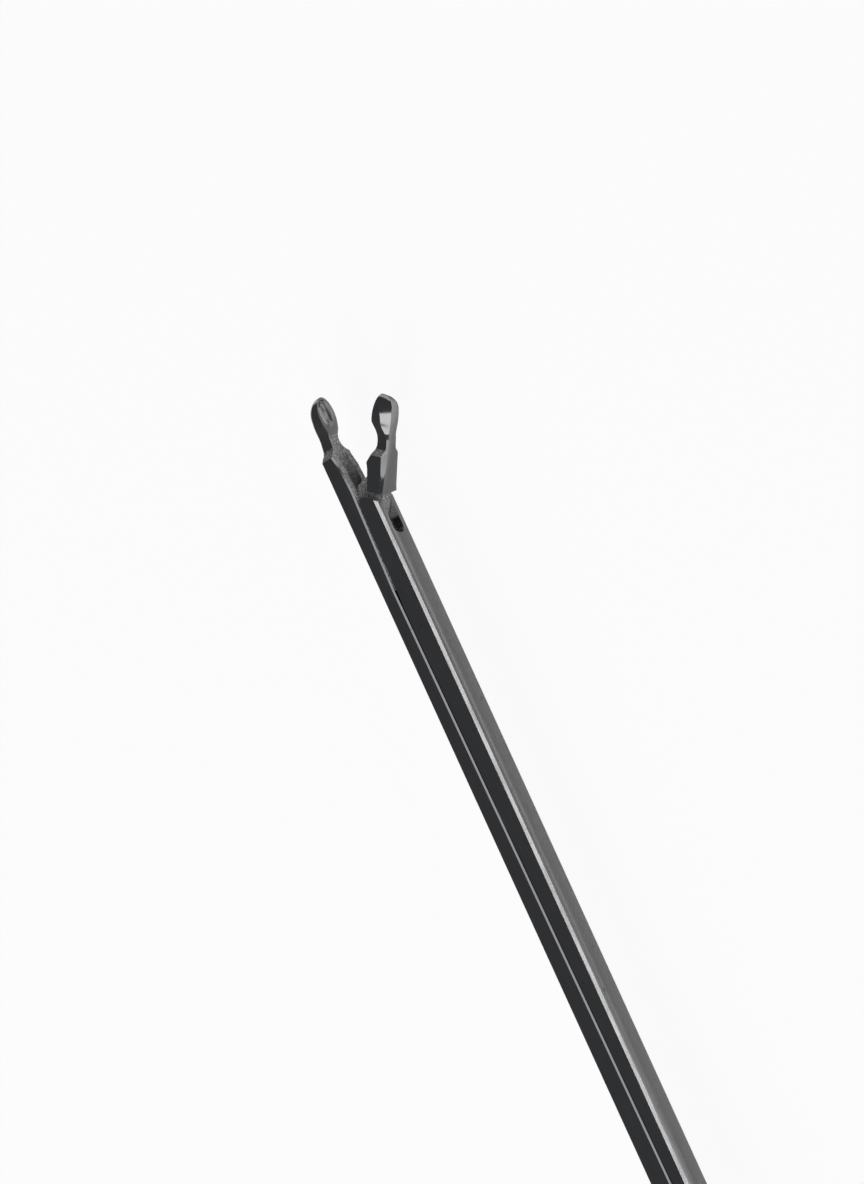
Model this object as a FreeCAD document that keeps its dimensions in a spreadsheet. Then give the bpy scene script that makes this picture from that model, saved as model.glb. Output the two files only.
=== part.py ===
import FreeCAD, Part
import math
import os
from FreeCAD import Placement, Rotation, Vector

# Cup-jaw ear forceps with a sliding upper bar and ring handles, lying on its side.
# +X runs along the shaft towards the jaws, +Y from the shaft towards the rings, +Z up.
# The origin is on the handle screw's axis, on the flat side that the forceps rest on.
# The jaws are open at rest; closing turns the lever, the slide and the jaw the positive way.

document = FreeCAD.newDocument("EarForceps")

# Driving dimensions in millimetres and degrees
sizes = {
    "handleThickness": 4.0,
    "partingHeight": 4.2,
    "driveArm": 4.8,
    "jawPivotReach": 81.7,
    "jawPivotDrop": 0.1,
    "linkOffset": 1.1,
    "jawSwing": 35.6,
    "shaftWidth": 2.52,
    "slideClearance": 0.06,
    "runningClearance": 0.03,
    "linkPlay": 0.06,
    "lowerDepthRear": 2.0,
    "lowerDepthMiddle": 1.82,
    "lowerDepthFront": 1.34,
    "lowerDepthClevis": 1.14,
    "depthMiddleReach": 45.0,
    "depthFrontReach": 75.0,
    "upperEdgeRear": 1.05,
    "upperEdgeFront": 2.12,
    "crownRise": 0.28,
    "facetWidth": 0.3,
    "facetRise": 0.14,
    "noseReach": 1.45,
    "noseHeight": 1.0,
    "noseTopLength": 1.7,
    "noseFootLength": 0.4,
    "forkLength": 3.85,
    "clevisSlotWidth": 1.2,
    "clevisRear": 2.9,
    "clevisFloorLength": 3.1,
    "clevisDepth": 0.98,
    "clevisFront": 5.6,
    "wallRise": 0.42,
    "wallRampRear": 6.4,
    "wallCrestReach": 2.3,
    "wallShoulderRise": 0.3,
    "wallShoulderReach": 4.4,
    "wallFrontRise": 0.06,
    "wallFrontReach": 5.5,
    "forkRelief": 0.08,
    "neckHalfWidth": 0.53,
    "neckRise": 0.04,
    "neckMiddle": 6.75,
    "neckUnderside": 1.2,
    "cupHalfWidth": 1.0,
    "cupMiddle": 8.8,
    "cupStart": 7.5,
    "fixedTipReach": 10.45,
    "cupUnderside": 0.8,
    "tipUnderside": 0.25,
    "cupCorner": 0.58,
    "rimRise": 0.32,
    "rimSlope": 5.0,
    "rimGap": 0.03,
    "rimWall": 0.2,
    "hollowRear": 7.9,
    "hollowDepth": 0.75,
    "movingTipReach": 10.5,
    "movingCupMiddle": 8.9,
    "movingCupRear": 8.35,
    "jawBodyStart": 2.5,
    "jawBodyFront": 5.6,
    "jawRestFront": 4.9,
    "jawHalfWidth": 1.1,
    "jawWaistHalfWidth": 0.62,
    "jawWaistMiddle": 6.8,
    "jawSideHeight": 1.8,
    "jawRidge": 1.98,
    "jawRidgeHalfWidth": 0.5,
    "jawCrown": 0.05,
    "cupSideHeight": 1.43,
    "cupRidge": 2.16,
    "tipSideHeight": 0.78,
    "tipRidge": 1.0,
    "tipBend": 0.9,
    "jawNotch": 1.0,
    "closedClearance": 0.03,
    "tenonWidth": 1.1,
    "tenonRadius": 0.72,
    "heelReach": 2.6,
    "heelDrop": 0.82,
    "linkRadius": 0.58,
    "jawPinDiameter": 0.56,
    "linkPinDiameter": 0.5,
    "studStemDiameter": 0.8,
    "studHeadDiameter": 1.4,
    "studHeadThickness": 0.35,
    "studHeadHeight": 0.5,
    "studSocketDepth": 0.9,
    "frontStudRear": 12.7,
    "rearStudReach": 20.0,
    "boxFront": 10.0,
    "boxNoseDepth": 2.9,
    "boxRear": 8.2,
    "boxRadius": 5.8,
    "boxSlotWidth": 1.3,
    "tangWidth": 1.26,
    "tangRear": 3.9,
    "leverThickness": 1.2,
    "hubRadius": 3.0,
    "tongueWidth": 2.2,
    "tongueTopMargin": 0.62,
    "drivePinDiameter": 0.7,
    "drivePlay": 0.05,
    "tailReach": 1.6,
    "tailSlotFront": 2.6,
    "screwShankDiameter": 2.4,
    "screwHeadDiameter": 4.4,
    "screwHeadDepth": 1.0,
    "screwRecess": 0.05,
    "screwFloor": 0.35,
    "driverSlotWidth": 0.6,
    "driverSlotDepth": 0.55,
    "rivetDiameter": 1.0,
    "rivetDrop": 1.0,
    "frontRivetReach": 8.2,
    "rearRivetReach": 5.4,
    "stopPinDiameter": 1.0,
    "stopPinDrop": 0.9,
    "frontTilt": 36.0,
    "rearTilt": 43.0,
    "frontOffset": 3.7,
    "rearOffset": 2.7,
    "shankLength": 57.0,
    "shankRootWidth": 5.4,
    "shankWaistWidth": 3.5,
    "shankEdgeRadius": 1.1,
    "sweepClearance": 0.35,
    "ringBoreDiameter": 20.0,
    "ringTubeDiameter": 4.0,
    "ringChamfer": 1.15,
}

sheet = document.addObject("Spreadsheet::Sheet", "Sizes")
for row, (alias, value) in enumerate(sizes.items(), start=1):
    sheet.set(f"A{row}", alias)
    sheet.set(f"B{row}", str(value))
    sheet.setAlias(f"B{row}", alias)
document.recompute()


def size(alias):
    return float(sheet.get(alias))


# Values worked out from the driving dimensions
shaftMiddle = size("handleThickness") / 2
halfSwing = math.radians(size("jawSwing") / 2)
stroke = 2 * size("linkOffset") * math.sin(halfSwing)
handleSwing = 2 * math.degrees(math.asin(stroke / 2 / size("driveArm")))
handleHalfSwing = math.radians(handleSwing / 2)
pivotX = size("jawPivotReach")
frontStudX = pivotX - size("frontStudRear")


def turned(x, y, degrees):
    angle = math.radians(degrees)
    return x * math.cos(angle) - y * math.sin(angle), x * math.sin(angle) + y * math.cos(angle)


def outline(start, *steps):
    """Closed edges: a step of two numbers is a straight line, of four an arc through a point."""
    edges = []
    here = Vector(*start, 0)
    first = here
    for step in steps:
        there = Vector(step[-2], step[-1], 0)
        if len(step) == 4:
            edges.append(Part.Arc(here, Vector(step[0], step[1], 0), there))
        else:
            edges.append(Part.LineSegment(here, there))
        here = there
    if here.distanceToPoint(first) > 1e-7:
        edges.append(Part.LineSegment(here, first))
    return edges


def circle(x, y, radius):
    return [Part.Circle(Vector(x, y, 0), Vector(0, 0, 1), radius)]


def newBody(name, place):
    body = document.addObject("PartDesign::Body", name)
    body.Label = name
    body.Placement = place
    return body


def addSketch(body, plane, edges, lift=0.0, shift=0.0):
    sketch = body.newObject("Sketcher::SketchObject", "Outline")
    support = [feature for feature in body.Origin.OriginFeatures if feature.Role == plane][0]
    sketch.AttachmentSupport = [(support, "")]
    sketch.MapMode = "FlatFace"
    sketch.AttachmentOffset = Placement(Vector(shift, 0, lift), Rotation())
    sketch.addGeometry(edges, False)
    return sketch


def addPad(body, sketch, length):
    pad = body.newObject("PartDesign::Pad", "Pad")
    pad.Profile = sketch
    pad.SideType = "Symmetric"
    pad.setExpression("Length", length)
    return pad


def addPocket(body, sketch, length):
    pocket = body.newObject("PartDesign::Pocket", "Pocket")
    pocket.Profile = sketch
    pocket.SideType = "Symmetric"
    pocket.setExpression("Length", length)
    return pocket


def addLoft(body, sketches):
    loft = body.newObject("PartDesign::AdditiveLoft", "Loft")
    loft.Profile = sketches[0]
    loft.Sections = sketches[1:]
    loft.Ruled = True
    return loft


def addPrimitive(body, kind, place, **expressions):
    primitive = body.newObject(kind, "Primitive")
    primitive.AttachmentOffset = place
    primitive.Placement = place
    for name, expression in expressions.items():
        primitive.setExpression(name, expression)
    return primitive


def pinHoles(body, holes):
    """Round holes across the piece, each given as x, y and radius."""
    for x, y, radius in holes:
        addPocket(body, addSketch(body, "XY_Plane", circle(x, y, radius)), "2 * Sizes.handleThickness")


def crossPin(name, x, y, diameter, length):
    """A plain pin across the forceps, centred on the shaft's middle plane."""
    pin = document.addObject("Part::Cylinder", name)
    pin.Label = name
    pin.setExpression("Radius", f"Sizes.{diameter} / 2")
    pin.setExpression("Height", f"Sizes.{length}")
    pin.Placement = Placement(Vector(x, y, shaftMiddle - size(length) / 2), Rotation())
    return pin


shaftPlace = Placement(Vector(0, -size("partingHeight"), shaftMiddle), Rotation())
handlePlace = Placement(Vector(0, 0, shaftMiddle), Rotation())

# Places of the pins: the link and drive pins swing evenly about the middle of their travel
linkX = pivotX - size("linkOffset") * math.sin(halfSwing)
linkY = size("jawPivotDrop") - size("linkOffset") * (1 + math.cos(halfSwing)) / 2
driveX = -size("driveArm") * math.sin(handleHalfSwing)
driveY = size("partingHeight") - size("driveArm") * (1 + math.cos(handleHalfSwing)) / 2


def rimHeight(x):
    """Height of the fixed cup's rim above the parting plane, x measured from the jaw pivot."""
    return size("rimRise") + math.tan(math.radians(size("rimSlope"))) * (x - size("cupStart"))


def wallHeight(x):
    """Height of the clevis walls above the parting plane, x measured from the jaw pivot."""
    places = [(-size("wallRampRear"), 0.0), (size("wallCrestReach"), size("wallRise")),
              (size("wallShoulderReach"), size("wallShoulderRise")),
              (size("wallFrontReach"), size("wallFrontRise"))]
    for (start, low), (end, high) in zip(places, places[1:]):
        if x <= end:
            return low + (high - low) * (x - start) / (end - start)
    return size("wallFrontRise")


def blend(start, end, share):
    """Smooth change from one value to another, level at both ends."""
    return start + (end - start) * (1 - math.cos(math.pi * min(1.0, max(0.0, share)))) / 2


def cupSection(halfWidth, top, bottom, corner):
    """Upright section of the fixed jaw: straight sides and rounded lower corners."""
    bend = corner * (1 - math.sqrt(0.5))
    return outline((top, -halfWidth), (bottom - corner, -halfWidth),
                   (bottom - bend, -halfWidth + bend, bottom, -halfWidth + corner),
                   (bottom, halfWidth - corner),
                   (bottom - bend, halfWidth - bend, bottom - corner, halfWidth),
                   (top, halfWidth))


def makeLowerShaft():
    body = newBody("lower_shaft", shaftPlace)
    halfWidth = size("shaftWidth") / 2
    wallEnd = pivotX + size("wallFrontReach")
    clevisDepth = size("lowerDepthClevis")

    # The bar, from the handle box to the front of the clevis walls
    bar = outline((size("boxFront"), 0), (pivotX - size("wallRampRear"), 0),
                  (pivotX + size("wallCrestReach"), -size("wallRise")),
                  (pivotX + size("wallShoulderReach"), -size("wallShoulderRise")),
                  (wallEnd, -size("wallFrontRise")), (wallEnd, clevisDepth),
                  (size("depthFrontReach"), size("lowerDepthFront"),
                   size("depthMiddleReach"), size("lowerDepthMiddle")),
                  (size("boxFront"), size("lowerDepthRear")))
    addPad(body, addSketch(body, "XY_Plane", bar), "Sizes.shaftWidth")

    # Shoulder and neck, as stations of reach, half width, underside and lower corner
    tip = size("fixedTipReach")
    start = size("cupStart")
    neck = size("neckHalfWidth")
    neckMiddle = size("neckMiddle")
    neckLow = size("neckUnderside")
    corner = size("cupCorner")
    high = -1.2
    neckStart = size("wallFrontReach")
    run = neckMiddle - neckStart
    stations = [
        (neckStart, halfWidth, clevisDepth, corner * 0.15),
        (neckStart + 0.18 * run, halfWidth * 0.8 + neck * 0.2, clevisDepth, corner * 0.2),
        (neckStart + 0.38 * run, halfWidth * 0.36 + neck * 0.64, neckLow * 0.97, corner * 0.25),
        (neckStart + 0.62 * run, halfWidth * 0.1 + neck * 0.9, neckLow, corner * 0.35),
        (neckMiddle, neck, neckLow, corner * 0.45),
    ]
    # The cup widens from the neck, then narrows to its tip as a quarter ellipse does
    middle = size("cupMiddle")
    for step in range(1, 5):
        share = step / 5
        stations.append((neckMiddle + share * (middle - neckMiddle),
                         blend(neck, size("cupHalfWidth"), share),
                         neckLow + (size("cupUnderside") - neckLow) * share,
                         corner * (0.45 + 0.55 * share)))
    for step in range(8):
        share = math.sin(math.radians(11.5 * step + 4))
        across = math.sqrt(1 - share ** 2)
        low = size("cupUnderside") + size("tipUnderside")
        stations.append((middle + share * (tip - middle), size("cupHalfWidth") * across,
                         low * across ** 1.4 - size("tipUnderside"), corner * across))
    sections = [addSketch(body, "YZ_Plane", cupSection(width, high, bottom, bend), pivotX + x)
                for x, width, bottom, bend in stations]
    addLoft(body, sections)

    # Top of the neck, the step up to the cup and the flat rim
    rise = size("neckRise")
    top = outline((pivotX + neckStart, -size("wallFrontRise")), (pivotX + neckMiddle, -rise),
                  (pivotX + start - 0.2, -rise - 0.45 * (size("rimRise") - rise),
                   pivotX + start + 0.1, -rimHeight(start + 0.1)),
                  (pivotX + tip + 1, -rimHeight(tip + 1)),
                  (pivotX + tip + 1, high - 1), (pivotX + neckStart, high - 1))
    addPocket(body, addSketch(body, "XY_Plane", top), "2 * Sizes.handleThickness")

    # Hollow of the cup
    centre = (size("hollowRear") + tip - size("rimWall")) / 2
    place = Placement(Vector(pivotX + centre, -rimHeight(centre), 0),
                      Rotation(Vector(0, 0, 1), -size("rimSlope")))
    addPrimitive(body, "PartDesign::SubtractiveEllipsoid", place,
                 Radius1="Sizes.cupHalfWidth - Sizes.rimWall",
                 Radius2="(Sizes.fixedTipReach - Sizes.rimWall - Sizes.hollowRear) / 2",
                 Radius3="Sizes.hollowDepth")

    # Clevis slot for the jaw's tenon
    slot = outline((pivotX - size("clevisRear"), -2),
                   (pivotX - size("clevisRear"), size("clevisDepth")),
                   (pivotX + size("clevisFloorLength"), size("clevisDepth")),
                   (pivotX + size("clevisFront"), 0), (pivotX + size("clevisFront"), -2))
    addPocket(body, addSketch(body, "XY_Plane", slot), "Sizes.clevisSlotWidth")

    # Tang in the handle box
    tang = outline((size("tangRear"), 0), (size("boxFront") + 0.5, 0),
                   (size("boxFront") + 0.5, size("lowerDepthRear") * 0.9),
                   (size("tangRear"), size("lowerDepthRear")))
    addPad(body, addSketch(body, "XY_Plane", tang), "Sizes.tangWidth")

    pinHoles(body, [(pivotX, size("jawPivotDrop"), size("jawPinDiameter") / 2),
                    (size("frontRivetReach"), size("rivetDrop"), size("rivetDiameter") / 2),
                    (size("rearRivetReach"), size("rivetDrop"), size("rivetDiameter") / 2)])
    for reach in (frontStudX, size("rearStudReach")):
        addPrimitive(body, "PartDesign::SubtractiveCylinder",
                     Placement(Vector(reach, 0, 0), Rotation(Vector(1, 0, 0), -90)),
                     Radius="Sizes.studStemDiameter / 2", Height="Sizes.studSocketDepth")
    return body


def barSection(edge):
    """Section of the sliding bar: flat below, a facet along each upper edge and a low crown."""
    halfWidth = size("shaftWidth") / 2
    facet = halfWidth - size("facetWidth")
    below = -size("slideClearance")
    return outline((below, -halfWidth), (-edge, -halfWidth), (-edge - size("facetRise"), -facet),
                   (-edge - size("crownRise"), 0, -edge - size("facetRise"), facet),
                   (-edge, halfWidth), (below, halfWidth))


def roundedSlot(openEnd, roundEnd, width):
    """Plan of a slot that is open at one end and round at the other."""
    half = width / 2
    inner = roundEnd + half if openEnd > roundEnd else roundEnd - half
    return outline((openEnd, -half), (inner, -half), (roundEnd, 0, inner, half), (openEnd, half))


def makeUpperShaft():
    body = newBody("upper_shaft", shaftPlace)
    nose = pivotX + size("noseReach")
    addLoft(body, [addSketch(body, "YZ_Plane", barSection(size("upperEdgeRear")), -size("tailReach")),
                   addSketch(body, "YZ_Plane", barSection(size("upperEdgeFront")), nose)])

    # The fork's underside rises with the clevis walls below it
    rampStart = pivotX - size("wallRampRear")
    flat = -size("slideClearance")
    below = flat - size("forkRelief") - wallHeight(size("noseReach") + stroke)
    relief = outline((rampStart - stroke - 1, 1), (rampStart - stroke - 1, flat),
                     (rampStart - stroke, flat - size("forkRelief")),
                     (nose, below), (nose + 1, below), (nose + 1, 1))
    addPocket(body, addSketch(body, "XY_Plane", relief), "2 * Sizes.handleThickness")

    # Bullet nose
    foot = size("noseFootLength")
    height = size("noseHeight")
    crown = size("upperEdgeFront") + size("crownRise")
    run = size("noseTopLength")
    diagonal = math.sqrt(0.5)
    nosePlan = outline((nose - foot, 1), (nose - foot, below),
                       (nose - foot * (1 - diagonal), below - foot * (1 - diagonal), nose, below - foot),
                       (nose, -height),
                       (nose - run * (1 - diagonal), -height - (crown - height) * diagonal,
                        nose - run, -crown),
                       (nose - run, -crown - 1), (nose + 1, -crown - 1), (nose + 1, 1))
    addPocket(body, addSketch(body, "XY_Plane", nosePlan), "2 * Sizes.handleThickness")

    # Fork for the jaw's tenon and fork for the lever's tongue
    fork = roundedSlot(nose + 1, nose - size("forkLength"), size("clevisSlotWidth"))
    addPocket(body, addSketch(body, "XZ_Plane", fork), "4 * Sizes.handleThickness")
    tailFork = roundedSlot(-size("tailReach") - 1, size("tailSlotFront"), size("boxSlotWidth"))
    addPocket(body, addSketch(body, "XZ_Plane", tailFork), "4 * Sizes.handleThickness")

    pinHoles(body, [(linkX, linkY, size("linkPinDiameter") / 2),
                    (driveX, driveY, size("drivePinDiameter") / 2)])

    # Keyhole slots for the two guide studs: a round way in, a stem slot and a wider head slot
    play = size("runningClearance")
    headHalf = size("studHeadDiameter") / 2 + play
    stemHalf = size("studStemDiameter") / 2 + play
    headLow = -size("studHeadHeight") + play
    headHigh = -size("studHeadHeight") - size("studHeadThickness") - play
    for reach in (frontStudX, size("rearStudReach")):
        rear = reach - stroke - play
        entry = rear - size("studHeadDiameter") - size("studStemDiameter")
        for half, low, high in ((stemHalf, 1, headLow), (headHalf, headLow, headHigh)):
            plan = outline((entry, -half), (reach, -half), (reach + half, 0, reach, half), (entry, half))
            slot = body.newObject("PartDesign::Pocket", "Pocket")
            slot.Profile = addSketch(body, "XZ_Plane", plan, -low)
            slot.Length = low - high
            slot.Reversed = True
        way = Placement(Vector(entry, 1, 0), Rotation(Vector(1, 0, 0), 90))
        cylinder = addPrimitive(body, "PartDesign::SubtractiveCylinder", way)
        cylinder.Radius = headHalf
        cylinder.Height = 1 - headHigh
    return body


def jawSection(halfWidth, side, ridgeHalf, ridge):
    """Section of the moving jaw: flat sides, a bevel above each and a low crown on its back."""
    low = 1.2
    return outline((low, -halfWidth), (-side, -halfWidth), (-ridge, -ridgeHalf),
                   (-ridge - size("jawCrown") * ridgeHalf / size("jawRidgeHalfWidth"), 0,
                    -ridge, ridgeHalf),
                   (-side, halfWidth), (low, halfWidth))


def makeMovingJaw():
    # Drawn closed about its pivot, then turned open
    place = Placement(Vector(pivotX, size("jawPivotDrop") - size("partingHeight"), shaftMiddle),
                      Rotation(Vector(0, 0, 1), -size("jawSwing")))
    body = newBody("moving_jaw", place)
    begin = size("jawBodyStart")
    front = size("jawBodyFront")
    tip = size("movingTipReach")
    wide = size("jawHalfWidth")
    waist = size("jawWaistHalfWidth")
    waistMiddle = size("jawWaistMiddle")
    side = size("jawSideHeight")
    ridge = size("jawRidge")
    ridgeHalf = size("jawRidgeHalfWidth")

    # Body, shoulder and waist, as stations of reach, half width, side height, ridge half width and ridge
    run = waistMiddle - front
    waistSide = ridge - 0.07
    stations = [
        (begin, wide, side, wide * 0.84, ridge),
        (front, wide, side, ridgeHalf, ridge),
        (front + 0.1 * run, wide * 0.9 + waist * 0.1, side, ridgeHalf, ridge),
        (front + 0.24 * run, wide * 0.5 + waist * 0.5, side + 0.3 * (waistSide - side), ridgeHalf, ridge),
        (front + 0.4 * run, wide * 0.15 + waist * 0.85, side + 0.7 * (waistSide - side),
         ridgeHalf * 0.95, ridge),
        (front + 0.6 * run, waist, waistSide, ridgeHalf * 0.92, ridge),
        (waistMiddle + 0.1 * run, waist, waistSide, ridgeHalf * 0.9, ridge),
    ]
    # The cup widens from the waist, then narrows as a quarter ellipse; its back bends down to the tip
    middle = size("movingCupMiddle")
    rear = waistMiddle + 0.1 * run
    for step in range(1, 6):
        share = step / 6
        stations.append((rear + share * (middle - rear),
                         blend(waist, size("cupHalfWidth"), share),
                         blend(waistSide, size("cupSideHeight"), share * 1.4),
                         blend(ridgeHalf * 0.9, ridgeHalf, share), blend(ridge, size("cupRidge"), share)))
    bendStart = tip - size("tipBend")
    for step in range(9):
        share = math.sin(math.radians(10.3 * step + 3))
        x = middle + share * (tip - middle)
        across = math.sqrt(1 - share ** 2)
        bend = math.sqrt(1 - max(0.0, (x - bendStart) / size("tipBend")) ** 2)
        flat = size("cupSideHeight") + share * (size("tipSideHeight") - size("cupSideHeight"))
        top = size("tipRidge") + (size("cupRidge") - size("tipRidge")) * bend
        stations.append((x, size("cupHalfWidth") * across, flat,
                         ridgeHalf * (0.3 * across + 0.7 * min(across, bend)), top))
    addLoft(body, [addSketch(body, "YZ_Plane", jawSection(width, flat, half, top), x)
                   for x, width, flat, half, top in stations])

    # Underside: clear of the clevis walls, up into the notch behind the cup, down to the rim
    gap = size("jawPivotDrop") + size("rimGap")
    notch = size("jawNotch")
    cupRear = size("movingCupRear")
    clear = size("jawPivotDrop") + size("closedClearance")
    shoulder = size("wallShoulderReach")
    level = size("jawRestFront")
    underside = outline((begin - 1, 2), (begin - 1, -clear - wallHeight(begin)),
                        (begin, -clear - wallHeight(begin)), (shoulder, -clear - wallHeight(shoulder)),
                        (level, -clear - wallHeight(level)), (front, -0.72 * notch),
                        (waistMiddle, -notch, (waistMiddle + cupRear) / 2 + 0.35, -notch * 0.7),
                        (cupRear, -rimHeight(cupRear) - gap),
                        (tip + 1, -rimHeight(tip + 1) - gap), (tip + 1, 2))
    addPocket(body, addSketch(body, "XY_Plane", underside), "2 * Sizes.handleThickness")

    # Hollow of the cup
    centre = (cupRear + tip) / 2
    hollow = Placement(Vector(centre, -rimHeight(centre) - gap, 0),
                       Rotation(Vector(0, 0, 1), -size("rimSlope")))
    ellipsoid = addPrimitive(body, "PartDesign::SubtractiveEllipsoid", hollow,
                             Radius1="Sizes.cupHalfWidth - Sizes.rimWall", Radius3="Sizes.hollowDepth")
    ellipsoid.Radius2 = (tip - cupRear) / 2 - size("rimWall")

    # Tenon: one lobe round the pivot and one round the link pin
    linkLocalX = size("linkOffset") * math.sin(halfSwing)
    linkLocalY = -size("linkOffset") * math.cos(halfSwing)
    lobe = size("tenonRadius")
    linkLobe = size("linkRadius")
    diagonal = math.sqrt(0.5)
    root = (begin + front) / 2
    tenon = outline((root, -clear - wallHeight(begin)), (size("heelReach"), size("heelDrop")),
                    (0, lobe), (-lobe * diagonal, lobe * diagonal, -lobe, 0),
                    (linkLocalX - linkLobe, linkLocalY),
                    (linkLocalX - linkLobe * diagonal, linkLocalY - linkLobe * diagonal,
                     linkLocalX, linkLocalY - linkLobe),
                    (begin + 0.4, -side), (root, -side))
    addPad(body, addSketch(body, "XY_Plane", tenon), "Sizes.tenonWidth")
    pinHoles(body, [(0, 0, size("jawPinDiameter") / 2 + size("runningClearance")),
                    (linkLocalX, linkLocalY, size("linkPinDiameter") / 2 + size("linkPlay"))])
    return body


def shankPoint(tilt, along, across):
    """A point on a shank that leans back by tilt from +Y; across is positive to the front."""
    angle = math.radians(tilt)
    return (across * math.cos(angle) - along * math.sin(angle),
            across * math.sin(angle) + along * math.cos(angle))


def addShank(body, tilt, offset, start, ringSide):
    """Tapered shank with rounded edges, and the ring that it runs into on its outer side."""
    end = size("shankLength")
    waist = start + 0.55 * (end - start)
    half = [size("shankRootWidth") / 2, size("shankWaistWidth") / 2, size("ringTubeDiameter") * 0.41]

    def at(along, across):
        return shankPoint(tilt, along, offset + across)

    edges = outline(at(start, half[0]), at(waist, half[1]) + at(end, half[2]), at(end, -half[2]),
                    at(waist, -half[1]) + at(start, -half[0]))
    addPad(body, addSketch(body, "XY_Plane", edges), "Sizes.handleThickness")
    pad = body.Tip
    document.recompute()
    rims = [f"Edge{number}" for number, edge in enumerate(pad.Shape.Edges, start=1)
            if edge.Length > (end - start) / 2]
    fillet = body.newObject("PartDesign::Fillet", "Fillet")
    fillet.Base = (pad, rims)
    fillet.setExpression("Radius", "Sizes.shankEdgeRadius")
    radius = (size("ringBoreDiameter") + size("ringTubeDiameter")) / 2
    centre = at(end, ringSide * radius)
    bore = size("ringBoreDiameter") / 2
    outer = bore + size("ringTubeDiameter")
    high = size("handleThickness") / 2
    corner = size("ringChamfer")
    section = outline((bore, high - corner), (bore + corner, high), (outer - corner, high),
                      (outer, high - corner), (outer, corner - high), (outer - corner, -high),
                      (bore + corner, -high), (bore, corner - high))
    ring = body.newObject("PartDesign::Revolution", "Ring")
    ring.Profile = addSketch(body, "XZ_Plane", section, -centre[1], centre[0])
    ring.ReferenceAxis = (ring.Profile[0], ["V_Axis"])
    ring.Angle = 360
    return centre


def makeRearHandle():
    body = newBody("rear_handle", handlePlace)
    tilt = size("rearTilt")
    addShank(body, tilt, -size("rearOffset"), 4.0, -1)

    # Box round the lever's hub, with the nose that holds the fixed bar's tang
    top = -size("partingHeight")
    front = size("boxFront")
    rear = -size("boxRear")
    disc = size("boxRadius")
    frontArc = turned(disc, 0, 12)
    middleArc = turned(disc, 0, 70)
    rearArc = turned(disc, 0, 90 + tilt)
    corner = 1.5
    plate = outline((rear + corner, top), (front, top), (front, top + size("boxNoseDepth")), frontArc,
                    middleArc + rearArc, (-7.0, 4.2), (rear - 0.3, 1.2), (rear, top + corner),
                    (rear + corner * 0.293, top + corner * 0.293, rear + corner, top))
    addPad(body, addSketch(body, "XY_Plane", plate), "Sizes.handleThickness")

    # Slot for the lever's hub and tongue, and for the tang
    hubWay = size("hubRadius") + 0.6
    tangFloor = top + size("lowerDepthRear") + size("runningClearance")
    neckX = disc + 0.6
    slot = outline((-hubWay, top - 1), (front + 1, top - 1), (front + 1, tangFloor),
                   (neckX, tangFloor), (neckX, disc + 2), (-hubWay, disc + 2))
    addPocket(body, addSketch(body, "XY_Plane", slot), "Sizes.boxSlotWidth")

    # Seat of the countersunk screw, blind below
    floor = size("screwFloor")
    half = size("handleThickness") / 2
    addPrimitive(body, "PartDesign::SubtractiveCylinder",
                 Placement(Vector(0, 0, floor - half), Rotation()),
                 Radius="Sizes.screwShankDiameter / 2", Height="Sizes.handleThickness")
    slope = (size("screwHeadDiameter") - size("screwShankDiameter")) / 2 / size("screwHeadDepth")
    recess = size("screwRecess")
    cone = addPrimitive(body, "PartDesign::SubtractiveCone",
                        Placement(Vector(0, 0, half - recess - size("screwHeadDepth")), Rotation()),
                        Radius1="Sizes.screwShankDiameter / 2",
                        Height="Sizes.screwHeadDepth + Sizes.screwRecess")
    cone.Radius2 = size("screwHeadDiameter") / 2 + slope * recess

    rivetY = size("rivetDrop") - size("partingHeight")
    pinHoles(body, [(size("frontRivetReach"), rivetY, size("rivetDiameter") / 2),
                    (size("rearRivetReach"), rivetY, size("rivetDiameter") / 2),
                    (*stopCentre(), size("stopPinDiameter") / 2)])
    return body


def stopCentre():
    """The stop pin touches the back of the tongue when the lever is fully open."""
    along = size("partingHeight") - size("stopPinDrop")
    across = size("tongueWidth") / 2 + size("runningClearance") + size("stopPinDiameter") / 2
    return (-along * math.sin(handleHalfSwing) - across * math.cos(handleHalfSwing),
            -along * math.cos(handleHalfSwing) + across * math.sin(handleHalfSwing))


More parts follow.
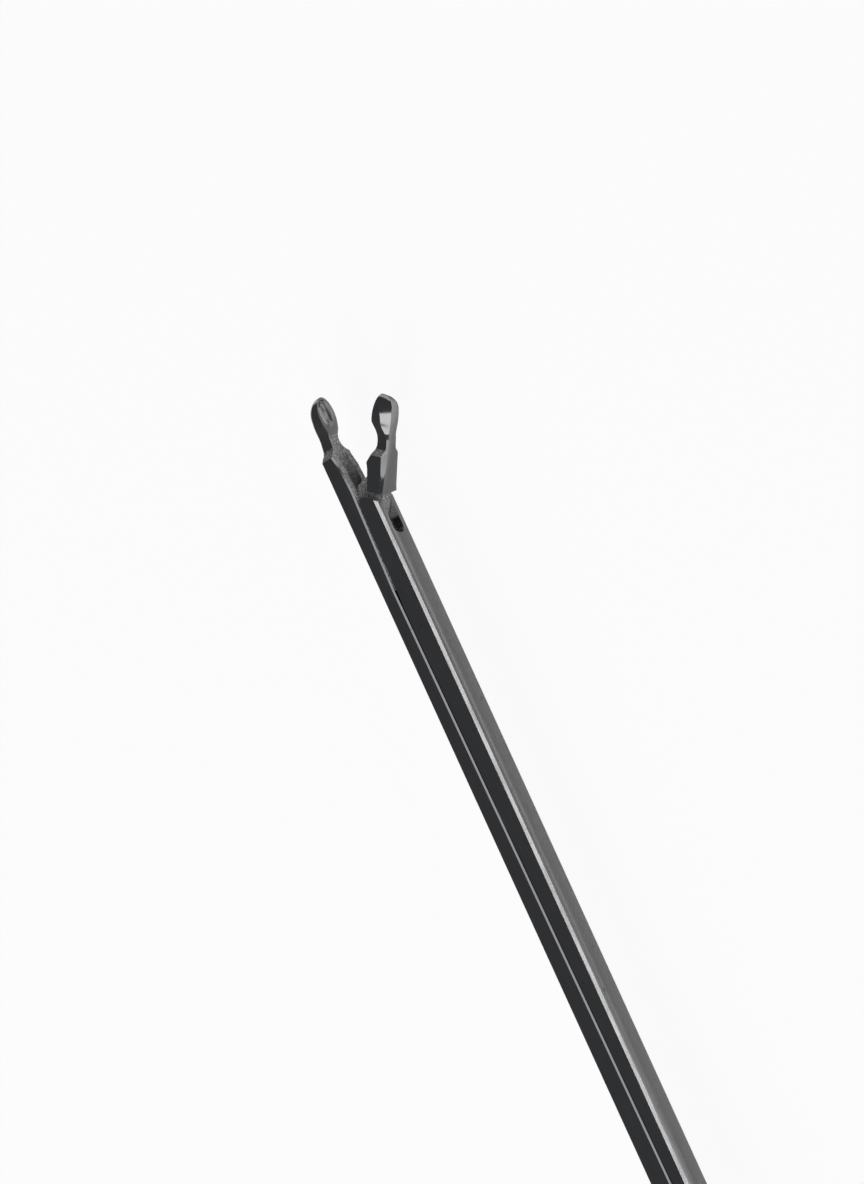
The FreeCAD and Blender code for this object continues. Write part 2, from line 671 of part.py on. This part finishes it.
def makeFrontHandle():
    # Drawn closed about the screw, then turned open
    place = Placement(Vector(0, 0, shaftMiddle), Rotation(Vector(0, 0, 1), -handleSwing))
    body = newBody("front_handle", place)
    tilt = size("frontTilt")
    offset = size("frontOffset")
    addShank(body, tilt, offset, 3.0, 1)

    # The shank is thinned on both sides where it swings past the box
    half = size("handleThickness") / 2
    for low in (-half - 1, size("leverThickness") / 2):
        cheek = addPrimitive(body, "PartDesign::SubtractiveCylinder",
                             Placement(Vector(0, 0, low), Rotation()),
                             Radius="Sizes.boxRadius + Sizes.sweepClearance")
        cheek.Height = half + 1 - size("leverThickness") / 2

    # Thin hub, web and tongue in the box's slot
    hub = size("hubRadius")
    addPad(body, addSketch(body, "XY_Plane", circle(0, 0, hub)), "Sizes.leverThickness")
    reach = size("boxRadius") + size("sweepClearance") + 0.4
    outer = offset + size("shankRootWidth") / 2 - 0.2
    inner = offset - size("shankRootWidth") / 2 + 0.2
    web = outline(shankPoint(tilt, -hub * 0.2, hub * 0.9), shankPoint(tilt, 3.2, outer),
                  shankPoint(tilt, reach, outer), shankPoint(tilt, reach, inner),
                  shankPoint(tilt, hub * 0.85, -hub * 0.4))
    addPad(body, addSketch(body, "XY_Plane", web), "Sizes.leverThickness")
    tongueTop = -size("driveArm") - size("tongueTopMargin")
    half = size("tongueWidth") / 2
    lean = math.degrees(handleHalfSwing)
    tongue = outline(turned(-half, 0, lean), turned(-half, tongueTop + half, lean),
                     turned(0, tongueTop, lean) + turned(half, tongueTop + half, lean),
                     turned(half, 0, lean))
    addPad(body, addSketch(body, "XY_Plane", tongue), "Sizes.leverThickness")

    pinHoles(body, [(0, 0, size("screwShankDiameter") / 2 + size("runningClearance")),
                    (*turned(0, -size("driveArm"), lean),
                     size("drivePinDiameter") / 2 + size("drivePlay"))])
    return body


def makeHandleScrew():
    """Countersunk screw with a driver slot; its head is up."""
    top = size("handleThickness") - size("screwRecess")
    headBase = top - size("screwHeadDepth")
    shank = document.addObject("Part::Cylinder", "ScrewShank")
    shank.setExpression("Radius", "Sizes.screwShankDiameter / 2")
    shank.Height = headBase - size("screwFloor")
    shank.Placement = Placement(Vector(0, 0, size("screwFloor")), Rotation())
    head = document.addObject("Part::Cone", "ScrewHead")
    head.setExpression("Radius1", "Sizes.screwShankDiameter / 2")
    head.setExpression("Radius2", "Sizes.screwHeadDiameter / 2")
    head.setExpression("Height", "Sizes.screwHeadDepth")
    head.Placement = Placement(Vector(0, 0, headBase), Rotation())
    blank = document.addObject("Part::Fuse", "ScrewBlank")
    blank.Base = shank
    blank.Tool = head
    driver = document.addObject("Part::Box", "DriverSlot")
    driver.setExpression("Length", "Sizes.screwHeadDiameter + 1")
    driver.setExpression("Width", "Sizes.driverSlotWidth")
    driver.setExpression("Height", "Sizes.driverSlotDepth + 1")
    driver.Placement = Placement(Vector(-size("screwHeadDiameter") / 2 - 0.5, -size("driverSlotWidth") / 2,
                                        top - size("driverSlotDepth")), Rotation())
    screw = document.addObject("Part::Cut", "handle_screw")
    screw.Label = "handle_screw"
    screw.Base = blank
    screw.Tool = driver
    return screw


def makeStud(name, reach):
    """T-headed guide stud, standing on the fixed bar with its head up in the sliding bar."""
    stem = document.addObject("Part::Cylinder", "StudStem")
    stem.setExpression("Radius", "Sizes.studStemDiameter / 2")
    stem.setExpression("Height", "Sizes.studSocketDepth + Sizes.studHeadHeight")
    head = document.addObject("Part::Cylinder", "StudHead")
    head.setExpression("Radius", "Sizes.studHeadDiameter / 2")
    head.setExpression("Height", "Sizes.studHeadThickness")
    upright = Rotation(Vector(1, 0, 0), 90)
    foot = size("studSocketDepth") - size("partingHeight")
    stem.Placement = Placement(Vector(reach, foot, shaftMiddle), upright)
    head.Placement = Placement(Vector(reach, -size("partingHeight") - size("studHeadHeight"), shaftMiddle),
                               upright)
    stud = document.addObject("Part::Fuse", name)
    stud.Label = name
    stud.Base = stem
    stud.Tool = head
    return stud


rowY = -size("partingHeight")
rivetY = rowY + size("rivetDrop")
subparts = [
    makeLowerShaft(),
    makeUpperShaft(),
    makeMovingJaw(),
    makeRearHandle(),
    makeFrontHandle(),
    makeHandleScrew(),
    makeStud("front_guide_stud", frontStudX),
    makeStud("rear_guide_stud", size("rearStudReach")),
    crossPin("jaw_pivot_pin", pivotX, rowY + size("jawPivotDrop"),
             "jawPinDiameter", "shaftWidth"),
    crossPin("jaw_link_pin", linkX, rowY + linkY, "linkPinDiameter", "shaftWidth"),
    crossPin("drive_pin", driveX, rowY + driveY, "drivePinDiameter", "shaftWidth"),
    crossPin("front_shaft_rivet", size("frontRivetReach"), rivetY,
             "rivetDiameter", "handleThickness"),
    crossPin("rear_shaft_rivet", size("rearRivetReach"), rivetY,
             "rivetDiameter", "handleThickness"),
    crossPin("opening_stop_pin", *stopCentre(), "stopPinDiameter", "handleThickness"),
]
document.recompute()

failed = [item.Label for item in document.Objects
          if "Invalid" in item.State or "Error" in item.State]
failed += [item.Label for item in subparts if item.Shape.isNull() or not item.Shape.isValid()]
if failed:
    raise RuntimeError(f"These objects did not build: {failed}")

os.makedirs("parts", exist_ok=True)
for item in subparts:
    item.Shape.exportStep(f"parts/{item.Label}.step")
    box = item.Shape.BoundBox
    print(f"{item.Label}: {len(item.Shape.Solids)} solid, {item.Shape.Volume:.3f} mm3, "
          f"x {box.XMin:.2f}..{box.XMax:.2f}, y {box.YMin:.2f}..{box.YMax:.2f}, "
          f"z {box.ZMin:.2f}..{box.ZMax:.2f}")
print(f"stroke {stroke:.4f} mm, lever swing {handleSwing:.4f} degrees, jaw swing {size('jawSwing')}")
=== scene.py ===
import math

import bmesh
import bpy
from mathutils import Matrix, Vector


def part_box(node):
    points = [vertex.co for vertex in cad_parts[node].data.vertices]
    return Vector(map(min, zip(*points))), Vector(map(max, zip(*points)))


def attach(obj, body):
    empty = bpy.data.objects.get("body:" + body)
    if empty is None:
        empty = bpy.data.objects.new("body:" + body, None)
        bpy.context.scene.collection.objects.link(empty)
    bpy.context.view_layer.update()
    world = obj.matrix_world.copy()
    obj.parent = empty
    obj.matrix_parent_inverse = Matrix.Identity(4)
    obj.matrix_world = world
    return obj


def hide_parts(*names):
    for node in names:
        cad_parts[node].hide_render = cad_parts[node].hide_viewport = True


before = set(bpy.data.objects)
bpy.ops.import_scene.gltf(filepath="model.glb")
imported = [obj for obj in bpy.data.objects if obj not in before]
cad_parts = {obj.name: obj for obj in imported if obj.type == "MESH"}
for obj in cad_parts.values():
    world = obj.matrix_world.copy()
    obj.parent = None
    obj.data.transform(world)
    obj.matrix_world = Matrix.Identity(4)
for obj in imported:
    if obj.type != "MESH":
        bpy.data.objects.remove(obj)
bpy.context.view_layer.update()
scene = bpy.context.scene
mm = 0.001


# the camera, at the angle of the photograph
view = {
    "tilt": 40.0,  # turn about the shaft, degrees
    "pitch": 5.0,  # of the shaft out of the picture plane, degrees
    "alongRight": -0.4237,  # the shaft's direction in the picture
    "alongUp": 0.9058,
    "target": (75.0 * mm, -4.2 * mm, 3.225 * mm),  # a point on the shaft, near the middle of the picture
    "shiftRight": 2.96 * mm,
    "shiftUp": 0.177 * mm,
    "pictureHeight": 95.5 * mm,
    "distance": 0.45,
    "sensor": 24.0,
    "clip": (0.01, 10.0),  # nearest and farthest, metres
}


def cameraAxes():
    tilt, pitch = math.radians(view["tilt"]), math.radians(view["pitch"])
    along = Vector((math.cos(pitch), -math.sin(pitch) * math.sin(tilt), math.sin(pitch) * math.cos(tilt)))
    across = Vector((0, -math.cos(tilt), -math.sin(tilt)))
    right = view["alongRight"] * along + view["alongUp"] * across
    up = view["alongUp"] * along - view["alongRight"] * across
    return right.normalized(), up.normalized(), right.cross(up).normalized()


def addCamera():
    right, up, back = cameraAxes()
    centre = Vector(view["target"]) + view["shiftRight"] * right + view["shiftUp"] * up
    data = bpy.data.cameras.new("camera")
    data.sensor_fit = "VERTICAL"
    data.sensor_height = view["sensor"]
    data.lens = view["sensor"] * view["distance"] / view["pictureHeight"]
    data.clip_start, data.clip_end = view["clip"]
    camera = bpy.data.objects.new("camera", data)
    turn = Matrix((right, up, back)).transposed().to_4x4()
    camera.matrix_world = Matrix.Translation(centre + back * view["distance"]) @ turn
    scene.collection.objects.link(camera)
    scene.camera = camera


addCamera()
print("camera in place")


# floor, world and lamps
studio = {
    "floorSize": 3.0,
    "floorColour": (0.86, 0.86, 0.86, 1),
    "whiteToCamera": 0.94,  # share of plain white, where 1 is white
    "whiteToMetal": 0.02,
    "worldColour": (0.92, 0.95, 1.0, 1),
    "worldStrength": 0.045,
    "lamps": {  # place, width, height and power, in metres and watts
        "key": ((-0.75, 0.62, 0.30), 0.40, 0.40, 17.0),
        "lowFront": ((0.05, -0.70, 0.14), 0.80, 0.25, 1.15),
        "front": ((0.10, -0.62, 0.52), 0.36, 0.32, 0.15),
        "topLeft": ((-0.30, -0.33, 0.73), 0.74, 0.44, 0.80),
    },
    "aim": (0.05, 0.0, 0.0),
}


def newMaterial(name):
    material = bpy.data.materials.new(name)
    material.use_nodes = True
    material.node_tree.nodes.clear()
    return material, material.node_tree.nodes, material.node_tree.links


def combined(nodes, links, first, second, operation, value=None):
    node = nodes.new("ShaderNodeMath")
    node.operation = operation
    links.new(first, node.inputs[0])
    if second is not None:
        links.new(second, node.inputs[1])
    if value is not None:
        node.inputs[1].default_value = value
    return node.outputs[0]


def addFloor():
    bm = bmesh.new()
    bmesh.ops.create_grid(bm, x_segments=1, y_segments=1, size=studio["floorSize"] / 2)
    mesh = bpy.data.meshes.new("floor")
    bm.to_mesh(mesh)
    bm.free()
    floor = bpy.data.objects.new("floor", mesh)
    scene.collection.objects.link(floor)
    material, nodes, links = newMaterial("paleFloor")
    diffuse = nodes.new("ShaderNodeBsdfDiffuse")
    diffuse.inputs["Color"].default_value = studio["floorColour"]
    white = nodes.new("ShaderNodeEmission")
    white.inputs["Color"].default_value = (1, 1, 1, 1)
    white.inputs["Strength"].default_value = 1.0
    rays = nodes.new("ShaderNodeLightPath")
    seen = combined(nodes, links, rays.outputs["Is Camera Ray"], None, "MULTIPLY", studio["whiteToCamera"])
    metal = combined(nodes, links, rays.outputs["Is Glossy Ray"], rays.outputs["Is Transmission Ray"],
                     "MAXIMUM")
    mirrored = combined(nodes, links, metal, None, "MULTIPLY", studio["whiteToMetal"])
    share = combined(nodes, links, seen, mirrored, "MAXIMUM")
    mix = nodes.new("ShaderNodeMixShader")
    links.new(share, mix.inputs["Fac"])
    links.new(diffuse.outputs[0], mix.inputs[1])
    links.new(white.outputs[0], mix.inputs[2])
    links.new(mix.outputs[0], nodes.new("ShaderNodeOutputMaterial").inputs["Surface"])
    floor.data.materials.append(material)


def addWorld():
    world = bpy.data.worlds.new("studio")
    world.use_nodes = True
    background = world.node_tree.nodes["Background"]
    background.inputs["Color"].default_value = studio["worldColour"]
    background.inputs["Strength"].default_value = studio["worldStrength"]
    scene.world = world
    scene.view_settings.view_transform = "Standard"


def addLamps():
    for name, (place, width, height, power) in studio["lamps"].items():
        data = bpy.data.lights.new(name, "AREA")
        data.shape = "RECTANGLE"
        data.size, data.size_y = width, height
        data.energy = power
        lamp = bpy.data.objects.new(name, data)
        lamp.location = place
        lamp.rotation_mode = "QUATERNION"
        lamp.rotation_quaternion = (Vector(place) - Vector(studio["aim"])).to_track_quat("Z", "Y")
        scene.collection.objects.link(lamp)


addFloor()
addWorld()
addLamps()
print("studio lit")


# steel finishes; every pattern reads Object coordinates, in metres
pattern = {
    "lineDetail": 4.0, "lineRoughness": 0.6,
    "cloudScale": 320.0, "cloudDetail": 3.0,
    "fleckDetail": 2.0, "fleckFrom": 0.70, "fleckTo": 0.78,
    "wornFrom": 0.1, "wornTo": 0.45,
    "bumpHeight": 0.02 * mm,
}
steels = {
    "shaftSteel": {
        "dark": (0.62, 0.62, 0.625, 1), "light": (0.72, 0.715, 0.71, 1),
        "stretch": (260.0, 5200.0, 5200.0),  # long lines along the shaft
        "roughLow": 0.10, "roughHigh": 0.20, "bump": 0.05,
        "fleck": 2600.0, "fleckColour": (0.34, 0.34, 0.35, 1),
    },
    "jawSteel": {
        "dark": (0.62, 0.62, 0.625, 1), "light": (0.72, 0.715, 0.71, 1),
        "stretch": (700.0, 4200.0, 4200.0),
        "roughLow": 0.12, "roughHigh": 0.22, "bump": 0.05,
        "fleck": 3200.0, "fleckColour": (0.36, 0.36, 0.37, 1),
    },
    "handleSteel": {
        "dark": (0.55, 0.55, 0.555, 1), "light": (0.63, 0.625, 0.62, 1),
        "stretch": (900.0, 1100.0, 1500.0),
        "roughLow": 0.24, "roughHigh": 0.36, "bump": 0.05,
        "fleck": 1500.0, "fleckColour": (0.42, 0.42, 0.43, 1),
    },
    "pinSteel": {
        "dark": (0.58, 0.58, 0.585, 1), "light": (0.68, 0.675, 0.67, 1),
        "stretch": (900.0, 5200.0, 5200.0),
        "roughLow": 0.13, "roughHigh": 0.24, "bump": 0.05,
        "fleck": 2600.0, "fleckColour": (0.34, 0.34, 0.35, 1),
    },
    "milledSteel": {
        "dark": (0.34, 0.34, 0.345, 1), "light": (0.92, 0.915, 0.91, 1), "metallic": 0.35,
        "spread": (0.40, 0.60), "stretch": (7000.0, 7000.0, 7000.0),  # grainy, without lines
        "roughLow": 0.42, "roughHigh": 0.58, "bump": 0.35,
        "fleck": 4200.0, "fleckColour": (0.22, 0.22, 0.225, 1),
    },
    "hollowSteel": {
        "dark": (0.16, 0.16, 0.165, 1), "light": (0.98, 0.975, 0.97, 1), "metallic": 0.15,
        "spread": (0.42, 0.58), "stretch": (160.0, 2600.0, 2600.0),  # scraped along the cup
        "roughLow": 0.26, "roughHigh": 0.46, "bump": 0.6,
        "fleck": 2600.0, "fleckColour": (0.16, 0.16, 0.165, 1),
    },
}


def steelMaterial(name, finish):
    material, nodes, links = newMaterial(name)
    place = nodes.new("ShaderNodeTexCoord")
    grain = nodes.new("ShaderNodeMapping")
    grain.inputs["Scale"].default_value = finish["stretch"]
    links.new(place.outputs["Object"], grain.inputs["Vector"])
    lines = nodes.new("ShaderNodeTexNoise")  # the brushed lines
    lines.inputs["Scale"].default_value = 1.0
    lines.inputs["Detail"].default_value = pattern["lineDetail"]
    lines.inputs["Roughness"].default_value = pattern["lineRoughness"]
    links.new(grain.outputs["Vector"], lines.inputs["Vector"])
    clouds = nodes.new("ShaderNodeTexNoise")  # slow change of tone
    clouds.inputs["Scale"].default_value = pattern["cloudScale"]
    clouds.inputs["Detail"].default_value = pattern["cloudDetail"]
    links.new(place.outputs["Object"], clouds.inputs["Vector"])
    flecks = nodes.new("ShaderNodeTexNoise")  # small dark marks
    flecks.inputs["Scale"].default_value = finish["fleck"]
    flecks.inputs["Detail"].default_value = pattern["fleckDetail"]
    links.new(place.outputs["Object"], flecks.inputs["Vector"])
    tone = nodes.new("ShaderNodeMix")
    tone.data_type = "RGBA"
    tone.inputs["A"].default_value = finish["dark"]
    tone.inputs["B"].default_value = finish["light"]
    spreadFrom, spreadTo = finish.get("spread", (0.0, 1.0))  # a narrow spread makes a harder grain
    grainShare = nodes.new("ShaderNodeMapRange")
    grainShare.inputs["From Min"].default_value = spreadFrom
    grainShare.inputs["From Max"].default_value = spreadTo
    links.new(lines.outputs["Fac"], grainShare.inputs["Value"])
    links.new(grainShare.outputs["Result"], tone.inputs["Factor"])
    fleckShare = nodes.new("ShaderNodeMapRange")
    fleckShare.inputs["From Min"].default_value = pattern["fleckFrom"]
    fleckShare.inputs["From Max"].default_value = pattern["fleckTo"]
    links.new(flecks.outputs["Fac"], fleckShare.inputs["Value"])
    marked = nodes.new("ShaderNodeMix")
    marked.data_type = "RGBA"
    marked.inputs["B"].default_value = finish["fleckColour"]
    links.new(fleckShare.outputs["Result"], marked.inputs["Factor"])
    links.new(tone.outputs["Result"], marked.inputs["A"])
    worn = combined(nodes, links, lines.outputs["Fac"], clouds.outputs["Fac"], "MULTIPLY")
    rough = nodes.new("ShaderNodeMapRange")
    rough.inputs["From Min"].default_value = pattern["wornFrom"]
    rough.inputs["From Max"].default_value = pattern["wornTo"]
    rough.inputs["To Min"].default_value = finish["roughLow"]
    rough.inputs["To Max"].default_value = finish["roughHigh"]
    links.new(worn, rough.inputs["Value"])
    bump = nodes.new("ShaderNodeBump")
    bump.inputs["Strength"].default_value = finish["bump"]
    bump.inputs["Distance"].default_value = pattern["bumpHeight"]
    links.new(lines.outputs["Fac"], bump.inputs["Height"])
    shader = nodes.new("ShaderNodeBsdfPrincipled")
    shader.inputs["Metallic"].default_value = finish.get("metallic", 1.0)
    links.new(marked.outputs["Result"], shader.inputs["Base Color"])
    links.new(rough.outputs["Result"], shader.inputs["Roughness"])
    links.new(bump.outputs["Normal"], shader.inputs["Normal"])
    links.new(shader.outputs[0], nodes.new("ShaderNodeOutputMaterial").inputs["Surface"])
    return material


steel = {name: steelMaterial(name, finish) for name, finish in steels.items()}
print("steel finishes made")


# CAD nodes that stay as they are
plainNodes = {
    "handle_screw": "milledSteel", "front_guide_stud": "pinSteel", "rear_guide_stud": "pinSteel",
    "jaw_pivot_pin": "shaftSteel", "jaw_link_pin": "shaftSteel", "drive_pin": "shaftSteel",
    "front_shaft_rivet": "handleSteel", "rear_shaft_rivet": "handleSteel", "opening_stop_pin": "handleSteel",
}


def finishNode(node, finish):
    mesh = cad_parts[node].data
    mesh.materials.clear()
    mesh.materials.append(steel[finish])


for node, finish in plainNodes.items():
    finishNode(node, finish)
print("pins and screw finished")


# pins with flush ends, which get no rim round them
flushPins = ["jaw_pivot_pin", "jaw_link_pin", "drive_pin", "front_shaft_rivet", "rear_shaft_rivet",
             "opening_stop_pin"]

# how the sharp edges are found and softened
softening = {
    "merge": 0.0005,  # corners closer than this are one, mm
    "lengthwise": 0.6,  # share of an edge's length that runs along the piece
    "rimRoom": 0.05,  # round a flush pin, mm
    "segments": 2,
    "level": 0.01,  # heights closer than this are the same, mm
    "chamferBend": 45,  # degrees
}


def mergedCopy(node, flat):
    bm = bmesh.new()
    bm.from_mesh(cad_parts[node].data)
    bmesh.ops.remove_doubles(bm, verts=bm.verts, dist=softening["merge"] * mm)
    bmesh.ops.dissolve_limit(bm, angle_limit=math.radians(flat), verts=bm.verts, edges=bm.edges)
    return bm


def nearPin(spot):
    for name in flushPins:
        low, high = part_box(name)
        centre = Vector(((low[0] + high[0]) / 2, (low[1] + high[1]) / 2))
        if (Vector((spot.x, spot.y)) - centre).length < (high[0] - low[0]) / 2 + softening["rimRoom"] * mm:
            return True
    return False


def markEdges(bm, plan):
    weight = bm.edges.layers.float.new("bevel_weight_edge")
    for edge in bm.edges:
        line = (edge.verts[1].co - edge.verts[0].co).normalized()
        bend = math.degrees(edge.calc_face_angle(0.0)) if edge.is_manifold else 0.0
        lengthwise = abs(line.dot(plan["along"])) > softening["lengthwise"]
        if bend < (plan["keep"] if lengthwise else plan["keepAcross"]):
            continue
        edge.smooth = False
        edge[weight] = 0.0 if nearPin((edge.verts[0].co + edge.verts[1].co) / 2) else 1.0


def finishPiece(node, plan, bm):
    for face in bm.faces:
        face.smooth = True
    markEdges(bm, plan)
    mesh = bpy.data.meshes.new(node + "_dressed")
    bm.to_mesh(mesh)
    bm.free()
    piece = bpy.data.objects.new(node + "_dressed", mesh)
    scene.collection.objects.link(piece)
    for finish in plan["finishes"]:
        mesh.materials.append(steel[finish])
    soften = piece.modifiers.new("soften", "BEVEL")
    soften.width = plan["edge"] * mm
    soften.segments = softening["segments"]
    soften.limit_method = "WEIGHT"
    soften.harden_normals = True
    if plan.get("even"):
        piece.modifiers.new("even", "WEIGHTED_NORMAL").keep_sharp = True
    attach(piece, plan["body"])
    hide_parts(node)
    return piece


# the fixed bar with its clevis and cup
lowerShaft = {
    "node": "lower_shaft", "body": "fixed_frame", "slot": "shaft_steel",
    "finishes": ["shaftSteel", "milledSteel", "hollowSteel"],
    "edge": 0.03,  # width of the softened edges, mm
    "flat": 1.0,  # faces that bend less than this are merged, degrees
    "keep": 25.0, "keepAcross": 40.0,  # bends that stay sharp along and across the piece, degrees
    "along": Vector((1, 0, 0)),
    "middle": 2.0,  # height of the shaft's middle plane, mm
    "parting": -4.2,  # where the two bars meet
    "chamferTo": 87.3,
    "topChamfer": 0.12,
    "milledFrom": 75.3, "milledTo": 89.0, "milledFacing": -0.75,  # reach in mm, and which way faces turn
    "shoulderFrom": 86.9, "shoulderTo": 88.6, "shoulderFacing": 0.2,
    "hollowFrom": 89.3, "hollowTo": 92.1, "hollowHalf": 0.82, "hollowFacing": (-0.99, -0.05),
}


def chamferSides(bm, plan, wanted):
    low, high = [Vector(corner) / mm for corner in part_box(plan["node"])]
    chosen = []
    for edge in bm.edges:
        ends = [vert.co / mm for vert in edge.verts]
        fromSide = min(abs(ends[0].z - low.z), abs(ends[0].z - high.z))
        onSide = abs(ends[0].z - ends[1].z) < softening["level"] and fromSide < softening["level"]
        if onSide and all(wanted(end) for end in ends) and abs(ends[0].x - ends[1].x) > softening["level"]:
            rim = nearPin((edge.verts[0].co + edge.verts[1].co) / 2)
            bend = math.degrees(edge.calc_face_angle(0.0))
            if edge.is_manifold and not rim and bend > softening["chamferBend"]:
                chosen.append(edge)
    print(plan["node"], "edges chamfered:", len(chosen))
    bmesh.ops.bevel(bm, geom=chosen, offset=plan["topChamfer"] * mm, offset_type="OFFSET", affect="EDGES",
                    segments=1, profile=0.5, material=-1, clamp_overlap=False)


def dressLowerShaft(plan):
    bm = mergedCopy("lower_shaft", plan["flat"])
    chamferSides(bm, plan, lambda end: end.y < plan["parting"] + softening["level"]
                 and end.x < plan["chamferTo"])
    for face in bm.faces:
        spot = face.calc_center_median() / mm
        top = face.normal.y < plan["milledFacing"] and plan["milledFrom"] < spot.x < plan["milledTo"]
        shoulder = face.normal.x > plan["shoulderFacing"] and plan["shoulderFrom"] < spot.x < plan["shoulderTo"]
        side = abs(spot.z - plan["middle"])
        inCup = plan["hollowFrom"] < spot.x < plan["hollowTo"] and side < plan["hollowHalf"]
        if top or shoulder:
            face.material_index = 1
        elif inCup and plan["hollowFacing"][0] < face.normal.y < plan["hollowFacing"][1]:
            face.material_index = 2
    return finishPiece("lower_shaft", plan, bm)


# the sliding bar
upperShaft = {
    "node": "upper_shaft", "body": "sliding_bar", "slot": "shaft_steel", "finishes": ["shaftSteel"],
    "edge": 0.05, "flat": 1.0, "keep": 7.0, "keepAcross": 30.0, "along": Vector((1, 0, 0)),
    "chamferUnder": -4.9,  # lower edges stand nearer the fixed bar than this
    "topChamfer": 0.16,  # along its lower edges, beside the fixed bar
    "noseStart": 82.0,
}


def dressUpperShaft(plan):
    bm = mergedCopy("upper_shaft", plan["flat"])
    chamferSides(bm, plan, lambda end: end.y > plan["chamferUnder"] and end.x < plan["noseStart"])
    return finishPiece("upper_shaft", plan, bm)


# the moving jaw
movingJaw = {
    "body": "jaw", "slot": "jaw_steel", "finishes": ["jawSteel", "milledSteel", "hollowSteel"],
    "edge": 0.03, "flat": 1.0, "keep": 16.0, "keepAcross": 42.0, "along": Vector((0.813, -0.582, 0)),
    "pivot": (81.7, -4.1, 2.0), "open": 35.6,
    "tenonTo": 2.45, "shoulderFrom": 5.55, "shoulderTo": 6.7, "shoulderSide": 0.6, "shoulderFacing": 0.3,
    "hollowFrom": 8.4, "hollowHalf": 0.82, "hollowFacing": (-0.98, -0.05),
}


def dressMovingJaw(plan):
    bm = mergedCopy("moving_jaw", plan["flat"])
    along = Vector((math.cos(math.radians(plan["open"])), -math.sin(math.radians(plan["open"])), 0))
    back = Vector((-along.y, along.x, 0)) * -1
    for face in bm.faces:
        spot = face.calc_center_median() / mm - Vector(plan["pivot"])
        reach, side = spot.dot(along), abs(spot.z)
        atShoulder = plan["shoulderFrom"] < reach < plan["shoulderTo"] and side > plan["shoulderSide"]
        inCup = reach > plan["hollowFrom"] and side < plan["hollowHalf"]
        if reach < plan["tenonTo"] or atShoulder and face.normal.dot(along) > plan["shoulderFacing"]:
            face.material_index = 1
        elif inCup and plan["hollowFacing"][0] < face.normal.dot(back) < plan["hollowFacing"][1]:
            face.material_index = 2
    return finishPiece("moving_jaw", plan, bm)


dressLowerShaft(lowerShaft)
dressUpperShaft(upperShaft)
dressMovingJaw(movingJaw)
print("shaft and jaws dressed")


# the two handles, with the rings' corners rounded
handles = {
    "rear_handle": {"body": "fixed_frame", "slot": "handle_steel", "finishes": ["handleSteel"],
                    "edge": 0.12, "flat": 0.1, "keep": 52.0, "keepAcross": 52.0, "along": Vector((0, 1, 0)),
                    "even": True},
    "front_handle": {"body": "lever", "slot": "handle_steel", "finishes": ["handleSteel"],
                     "edge": 0.12, "flat": 0.1, "keep": 52.0, "keepAcross": 52.0, "along": Vector((0, 1, 0)),
                     "even": True},
}
ring = {
    "bore": 10.0, "outer": 14.0,  # radii, mm
    "room": 0.02, "sameRadius": 0.05,
    "cornerFrom": 20, "cornerTo": 60,  # bends that are rounded, degrees
    "round": 0.55, "segments": 3,
}


def dressHandle(node, plan):
    bm = mergedCopy(node, plan["flat"])
    low, high = [Vector(corner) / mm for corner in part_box(node)]
    centre = Vector((low.x + ring["outer"], high.y - ring["outer"]))
    corners = []
    for edge in bm.edges:
        reach = [(Vector((vert.co.x, vert.co.y)) / mm - centre).length for vert in edge.verts]
        if max(reach) > ring["outer"] + ring["room"] or min(reach) < ring["bore"] - ring["room"]:
            continue
        bend = math.degrees(edge.calc_face_angle(0.0)) if edge.is_manifold else 0.0
        if abs(reach[0] - reach[1]) < ring["sameRadius"] and ring["cornerFrom"] < bend < ring["cornerTo"]:
            corners.append(edge)
    bmesh.ops.bevel(bm, geom=corners, offset=ring["round"] * mm, offset_type="OFFSET", affect="EDGES",
                    segments=ring["segments"], profile=0.5, material=-1, clamp_overlap=True)
    return finishPiece(node, plan, bm)


for node, plan in handles.items():
    dressHandle(node, plan)
print("handles dressed")
